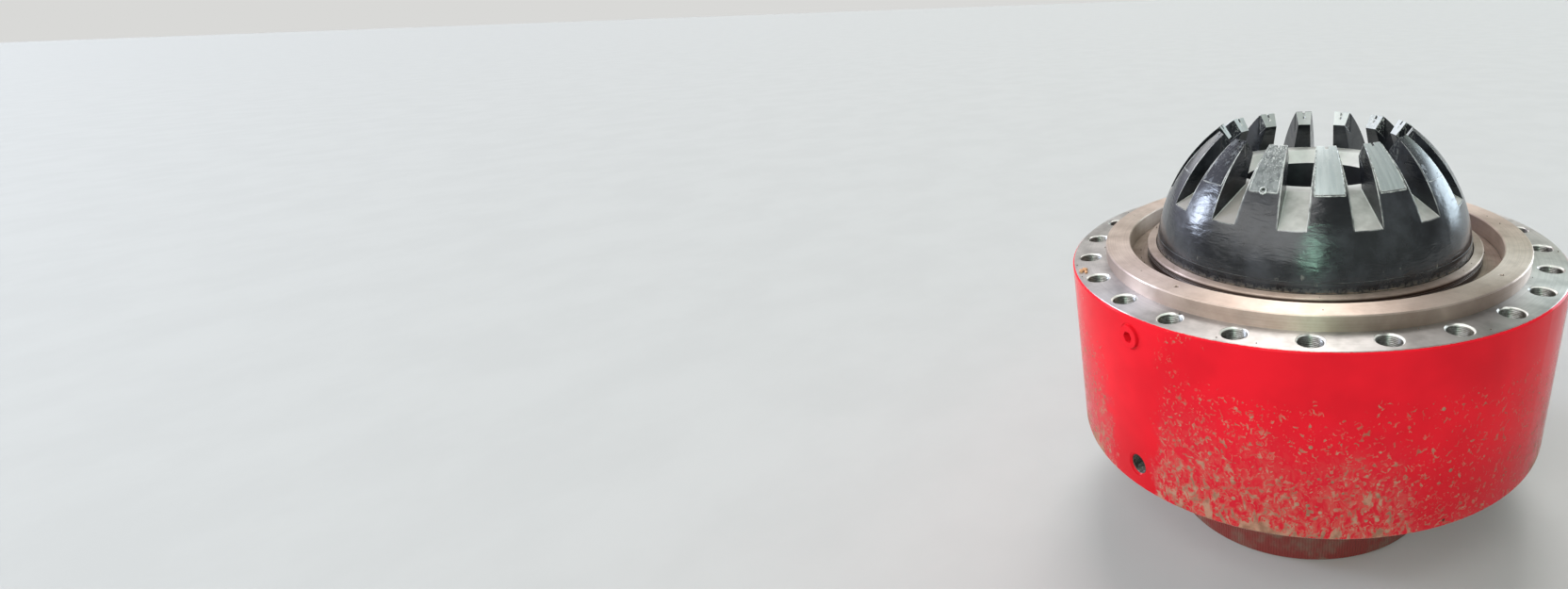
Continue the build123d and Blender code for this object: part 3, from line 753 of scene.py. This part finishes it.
def faceOutwards(piece):
    editAll(piece)
    bpy.ops.mesh.remove_doubles(threshold=1e-6)
    bpy.ops.mesh.normals_make_consistent(inside=False)
    leaveEdit()


def copiesAt(piece, matrices):
    # one copy for each matrix, each with its own mesh; the first model is used up
    copies = []
    for matrix in matrices:
        twin = piece.copy()
        twin.data = piece.data.copy()
        twin.data.transform(matrix)
        bpy.context.scene.collection.objects.link(twin)
        copies.append(twin)
    bpy.data.objects.remove(piece)
    return copies


def joined(pieces):
    selectOnly(pieces)
    bpy.ops.object.join()
    return bpy.context.active_object


def finishPiece(piece, name, material, body, smoothAngle=40):
    faceOutwards(piece)
    piece.name = name
    piece.data.name = name
    piece.data.materials.clear()
    piece.data.materials.append(material)
    selectOnly([piece])
    bpy.ops.object.shade_smooth_by_angle(angle=radians(smoothAngle))
    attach(piece, body)
    clearSelection()


def turnAbout(angle):
    return Matrix.Rotation(radians(angle), 4, "Z")


def makeTorus(radius, thickness, steps, place, rotation=(0, 0, 0)):
    bpy.ops.mesh.primitive_torus_add(
        location=place, rotation=rotation, major_radius=radius, minor_radius=thickness,
        major_segments=steps[0], minor_segments=steps[1])
    piece = bpy.context.active_object
    applyPlace(piece)
    return piece


def makeLump(look, size, seed, place):
    bpy.ops.mesh.primitive_ico_sphere_add(subdivisions=look["subdivisions"], radius=size)
    lump = bpy.context.active_object
    editAll(lump)
    bpy.ops.transform.vertex_random(offset=look["unevenness"] * size, seed=seed)
    bpy.ops.transform.resize(value=look["squashed"])
    leaveEdit()
    lump.data.transform(place)
    return lump


# Threads

studThread = {"pitch": 4.0 * mm, "turns": 16, "steps": 28, "rise": 1.5 * mm, "rootDepth": 0.2 * mm,
              "root": 0.96, "crest": 0.12, "startStep": 97}
portThread = {"pitch": 2.2 * mm, "turns": 18, "steps": 32, "rise": 1.1 * mm, "rootDepth": 0.2 * mm,
              "root": 0.96, "crest": 0.12, "sunk": 3 * mm}


def makeThread(look, holeRadius):
    # a ridge with a narrow crest, wound down a hole whose axis is Z and whose mouth is at the origin
    bpy.ops.mesh.primitive_plane_add(size=look["pitch"])
    piece = bpy.context.active_object
    editAll(piece)
    bpy.ops.mesh.delete(type="ONLY_FACE")
    leaveEdit()
    root = holeRadius + look["rootDepth"]
    crest = holeRadius - look["rise"]
    rootHalf = look["root"] * look["pitch"] / 2
    crestHalf = look["crest"] * look["pitch"] / 2
    profile = [(root, -rootHalf), (root, rootHalf), (crest, -crestHalf), (crest, crestHalf)]
    for vertex, (radius, height) in zip(piece.data.vertices, profile):
        vertex.co = (radius, 0, height - look["turns"] * look["pitch"])
    addModifier(piece, "SCREW", {
        "axis": "Z", "screw_offset": look["pitch"], "iterations": look["turns"], "steps": look["steps"],
        "render_steps": look["steps"], "use_merge_vertices": False})
    editAll(piece)
    bpy.ops.mesh.fill_holes(sides=4)
    leaveEdit()
    return piece


def makeStudThreads():
    # each hole's thread starts at another angle
    ridge = makeThread(studThread, part["studHole"])
    mouth = part["bodyTop"] - part["studChamfer"]
    step = 360 / part["studCount"]
    matrices = []
    for i in range(part["studCount"]):
        centre = polar(part["studCircle"], (i + 0.5) * step, mouth)
        matrices.append(Matrix.Translation(centre) @ turnAbout(studThread["startStep"] * i))
    piece = joined(copiesAt(ridge, matrices))
    finishPiece(piece, "studHoleThreads", plain["cutThreadSteel"], "housing", 50)


def makePortThread():
    ridge = makeThread(portThread, part["portRadius"])
    mouth = part["portFace"] - portThread["sunk"]
    lay = Matrix.Translation((0, -mouth, part["closingPort"])) @ Matrix.Rotation(radians(90), 4, "X")
    ridge.data.transform(lay)
    finishPiece(ridge, "closingPortThread", plain["shadedThreadSteel"], "housing", 50)


makeStudThreads()
makePortThread()
print("stage 4: threads wound")


# Rubber details on the dome

# flash is left round the bare faces of these ribs, counted from rib 1
flashLook = {"radius": 1.2 * mm, "steps": 22, "footSteps": 12, "topGap": 1.5 * mm, "unevenness": 0.6,
             "grain": 9 * mm, "ribs": (0, 1, 4, 6, 8, 9)}


def domeReach(height):
    # radius of the dome's circle at one height
    return sqrt(part["domeRadius"] ** 2 - (height - part["domeCentre"]) ** 2)


def onDome(x, height):
    return Vector((x, -sqrt(domeReach(height) ** 2 - x * x), height))


def flashRoute():
    # down one side of the bare steel, across its foot and up the other side, at -Y
    top = part["elementTop"] - flashLook["topGap"]
    foot = part["elementTop"] - part["bareDrop"]
    side = []
    for i in range(flashLook["steps"] + 1):
        height = top + (foot - top) * i / flashLook["steps"]
        share = (domeReach(height) - part["tipRadius"]) / (domeReach(foot) - part["tipRadius"])
        halfWidth = part["tipHalfWidth"] + share * (part["bareHalfWidth"] - part["tipHalfWidth"])
        side.append(onDome(halfWidth, height))
    across = []
    for i in range(1, flashLook["footSteps"]):
        across.append(onDome(part["bareHalfWidth"] * (1 - 2 * i / flashLook["footSteps"]), foot))
    return side + across + [Vector((-p.x, p.y, p.z)) for p in reversed(side)]


def makeFlashBead(angle):
    # a poly curve with a round bevel, uneven like a torn moulding edge
    bpy.ops.curve.primitive_bezier_curve_add()
    bead = bpy.context.active_object
    curve = bead.data
    curve.splines.clear()
    spline = curve.splines.new("POLY")
    points = [turnAbout(angle) @ p for p in flashRoute()]
    spline.points.add(len(points) - 1)
    for target, point in zip(spline.points, points):
        target.co = (*point, 1.0)
        target.radius = 1 + flashLook["unevenness"] * noise(point / flashLook["grain"])
    curve.dimensions = "3D"
    curve.bevel_depth = flashLook["radius"]
    curve.bevel_resolution = 1
    curve.use_fill_caps = True
    selectOnly([bead])
    bpy.ops.object.convert(target="MESH")
    return bpy.context.active_object


def makeFlashBeads():
    step = 360 / part["ribCount"]
    piece = joined([makeFlashBead(part["ribAngle"] + i * step) for i in flashLook["ribs"]])
    applyPlace(piece)
    finishPiece(piece, "flashRoundBareSteel", plain["scrapedRubberFlash"], "piston")


pinLook = {"rib": 13, "sink": 0.3 * mm, "radius": 7.8 * mm, "thickness": 1.9 * mm}


def makePinHoleRim():
    # the raised burr round the pin hole of one segment
    turn = part["ribAngle"] + pinLook["rib"] * 360 / part["ribCount"]
    rise = (part["pinHole"] - part["domeCentre"]) / part["domeRadius"]
    outward = Vector(polar(sqrt(1 - rise * rise), turn, rise))
    centre = outward * (part["domeRadius"] - pinLook["sink"]) + Vector((0, 0, part["domeCentre"]))
    facing = outward.to_track_quat("Z", "Y").to_euler()
    piece = makeTorus(pinLook["radius"], pinLook["thickness"], (40, 10), centre, facing)
    finishPiece(piece, "burrRoundPinHole", plain["scrapedRubberFlash"], "piston", 60)


# rings round the dome: height, thickness, how far they are sunk, their unevenness and its grain
domeRings = {
    "domePartingLine": (
        rubberLook["partingLine"], 0.8 * mm, 0.3 * mm, 0.5 * mm, 30 * mm, "rubberPartingLine"),
    "flashAtDomeFoot": (part["rimTop"] + 0.8 * mm, 1.4 * mm, 0.4 * mm, 1.8 * mm, 16 * mm, "dirtyRubberFlash"),
}


def makeDomeRing(name, height, thickness, sunk, uneven, grain, stuff):
    piece = makeTorus(domeReach(height) - sunk, thickness, (540, 8), (0, 0, height))
    clouds = bpy.data.textures.new(name + "Clouds", "CLOUDS")
    clouds.noise_scale = grain
    addModifier(piece, "DISPLACE", {
        "texture": clouds, "texture_coords": "LOCAL", "strength": uneven, "mid_level": 0.5})
    finishPiece(piece, name, plain[stuff], "piston", 60)


makeFlashBeads()
makePinHoleRim()
for ringName, ring in domeRings.items():
    makeDomeRing(ringName, *ring)
print("stage 5: rubber flash trimmed")


# Small pieces

plugLook = {"beadRadius": 25.2 * mm, "beadThickness": 1.7 * mm}


def makePlugBead():
    # the rolled rim of the plug's round head, thick with paint and flush with its front
    centre = (0, plugLook["beadThickness"] - part["plugFront"], part["plugMiddle"])
    facing = (radians(90), 0, 0)
    piece = makeTorus(plugLook["beadRadius"], plugLook["beadThickness"], (72, 14), centre, facing)
    finishPiece(piece, "plugRimBead", redEnamel, "housing", 80)


crumbLook = {"radius": 614 * mm, "angle": -27.9, "lumps": 5, "size": 7 * mm, "shrink": 0.13, "fan": 0.9,
             "spread": 11 * mm, "sunk": 0.3, "unevenness": 0.35, "squashed": (1.0, 0.8, 0.55), "turn": 47,
             "subdivisions": 2}


def makeClayCrumb():
    # a small heap of lumps, each a little smaller than the one before
    lumps = []
    for i in range(crumbLook["lumps"]):
        size = crumbLook["size"] * (1 - crumbLook["shrink"] * i)
        angle = crumbLook["angle"] + (i % 3 - 1) * crumbLook["fan"]
        radius = crumbLook["radius"] + (i % 2 - 0.5) * crumbLook["spread"]
        centre = polar(radius, angle, part["bodyTop"] + crumbLook["sunk"] * size)
        turned = Matrix.Translation(centre) @ turnAbout((i + 1) * crumbLook["turn"])
        lumps.append(makeLump(crumbLook, size, i + 1, turned))
    finishPiece(joined(lumps), "clayCrumbOnTopFace", plain["dryClay"], "housing")


# crumbs of floor dirt on level steel: the circles that they lie on, by radius and height
gritLook = {"small": 0.9 * mm, "large": 2.2 * mm, "turn": 137.508, "sunk": 0.3, "unevenness": 0.3,
            "squashed": (1, 1, 1), "subdivisions": 1}
deckTop = part["bodyTop"] - 9.5 * mm
gritSpots = {
    "gritOnPistonDeck": {
        "count": 46, "body": "piston", "slot": "machined_steel",
        "circles": [(458 * mm, deckTop), (425 * mm, part["rimTop"]), (446 * mm, deckTop)]},
    "gritOnHousingTop": {
        "count": 30, "body": "housing", "slot": "red_enamel",
        "circles": [(556 * mm, part["bodyTop"]), (514 * mm, part["bodyTop"] + 36 * mm),
                    (620 * mm, part["bodyTop"])]},
}


def makeGrit(name, spots):
    # the golden angle between one crumb and the next keeps them from lining up
    crumbs = []
    for i in range(spots["count"]):
        radius, height = spots["circles"][i % len(spots["circles"])]
        share = ((i * 29) % 17) / 17    # 17 sizes in a mixed order
        aside = ((i * 13) % 11 - 5) * mm    # 11 places within 5 mm
        size = gritLook["small"] + (gritLook["large"] - gritLook["small"]) * share
        centre = polar(radius + aside, i * gritLook["turn"], height + gritLook["sunk"] * size)
        crumbs.append(makeLump(gritLook, size, i + 1, Matrix.Translation(centre)))
    finishPiece(joined(crumbs), name, plain["pressedGrit"], spots["body"])


makePlugBead()
makeClayCrumb()
for gritName, spots in gritSpots.items():
    makeGrit(gritName, spots)
print("stage 6: plug rim, clay and grit placed")


# Floor, light and camera

cameraPlace = {"angle": 36.43, "distance": 1.87361, "height": 1.39135,
               "yaw": -11.303, "pitch": 23.057, "roll": -2.102, "focalPixels": 762.02,
               "principalX": 1247.0, "imageWidth": 1664.0, "sensor": 36.0, "clipStart": 0.05, "clipEnd": 100}

# The windows and softboxes of a wide room, seen from the part, in degrees: azimuth from the camera's
# side of it, elevation, width, height and softness of the edge; then the brightness and any tint
windows = {
    "rooflights": (-177, 62, 46, 34, 12, 8.0),
    "wallBehindLeft": (-156, 15, 40, 13, 7, 1.5),
    "wallBehindRight": (156, 18, 36, 14, 8, 1.0, "#D9F2E1"),
    "windowLeft": (-98, 19, 13, 15, 8, 27.0, "#DCE9FF"),
    "wallLeft": (-112, 22, 60, 40, 20, 0.95, "#DAD8F2"),
    "windowRight": (133, 9, 26, 20, 8, 7.4, "#DFF2FF"),
    "lampOverCamera": (-14, 57, 34, 12, 8, 7.0),
    "wallRight": (50, 22, 60, 40, 20, 0.3, "#E4F4EC"),
    "softboxFront": (-38, 30, 84, 32, 24, 2.9),
    "stripGreen": (3, 19, 4, 22, 5, 26.0, "#B4F5D6"),
}
roomLook = {"walls": "#C9CDCC", "brightness": 0.40, "backdrop": "#D9D9D7", "floorSize": 400}


def makeFloor():
    bpy.ops.mesh.primitive_plane_add(size=roomLook["floorSize"])
    floor = bpy.context.active_object
    floor.name = "studioFloor"
    floor.data.materials.append(plain["paleStudioFloor"])


def makeCamera():
    look = cameraPlace
    yaw, pitch, roll = (radians(look[k]) for k in ("yaw", "pitch", "roll"))
    forward = Vector((sin(yaw) * cos(pitch), cos(yaw) * cos(pitch), -sin(pitch)))
    right = Vector((cos(yaw), -sin(yaw), 0))
    up = right.cross(forward)
    right, up = cos(roll) * right + sin(roll) * up, cos(roll) * up - sin(roll) * right
    basis = Matrix((right, up, -forward)).transposed().to_4x4()
    data = bpy.data.cameras.new("photoCamera")
    data.sensor_width = look["sensor"]
    data.lens = look["focalPixels"] / look["imageWidth"] * look["sensor"]
    data.shift_x = 0.5 - look["principalX"] / look["imageWidth"]
    data.clip_start = look["clipStart"]
    data.clip_end = look["clipEnd"]
    camera = bpy.data.objects.new("photoCamera", data)
    stand = Matrix.Translation((0, -look["distance"], look["height"]))
    camera.matrix_world = turnAbout(look["angle"]) @ stand @ basis
    bpy.context.scene.collection.objects.link(camera)
    bpy.context.scene.camera = camera


def windowLight(add, direction, azimuth, elevation, wide, tall, soft, strength, tint="#FFFFFF"):
    # a soft-edged rectangle of light in one direction of the room
    turned = add("turn", direction, -radians(cameraPlace["angle"] + azimuth))
    x, y, z = add("split", turned).node.outputs
    across = add("ARCTAN2", x, add("MULTIPLY", y, -1.0))
    rise = add("SUBTRACT", add("ARCSINE", z), radians(elevation))
    for angle, span in ((across, wide), (rise, tall)):
        edge = add("fade", add("ABSOLUTE", angle), radians(span + soft) / 2, radians(span - soft) / 2)
        strength = add("MULTIPLY", edge, strength)
    return add("dim", tint, strength)


def makeRoom():
    # the camera itself sees a plain pale backdrop; the light comes from the walls and windows round it
    world = bpy.data.worlds.new("softRoom")
    world.use_nodes = True
    world.node_tree.nodes.clear()
    add = partial(addNode, world.node_tree)
    direction = add("coords").node.outputs["Generated"]
    light = add("dim", roomLook["walls"], roomLook["brightness"])
    for look in windows.values():
        light = add("addLight", light, windowLight(add, direction, *look))
    shown = add("mixColour", add("lightPath"), light, roomLook["backdrop"])
    add("worldOutput", add("background", shown))
    bpy.context.scene.world = world
    bpy.context.scene.view_settings.view_transform = "Standard"


makeFloor()
makeCamera()
makeRoom()
print("stage 7: floor, camera and light placed")

clearSelection()
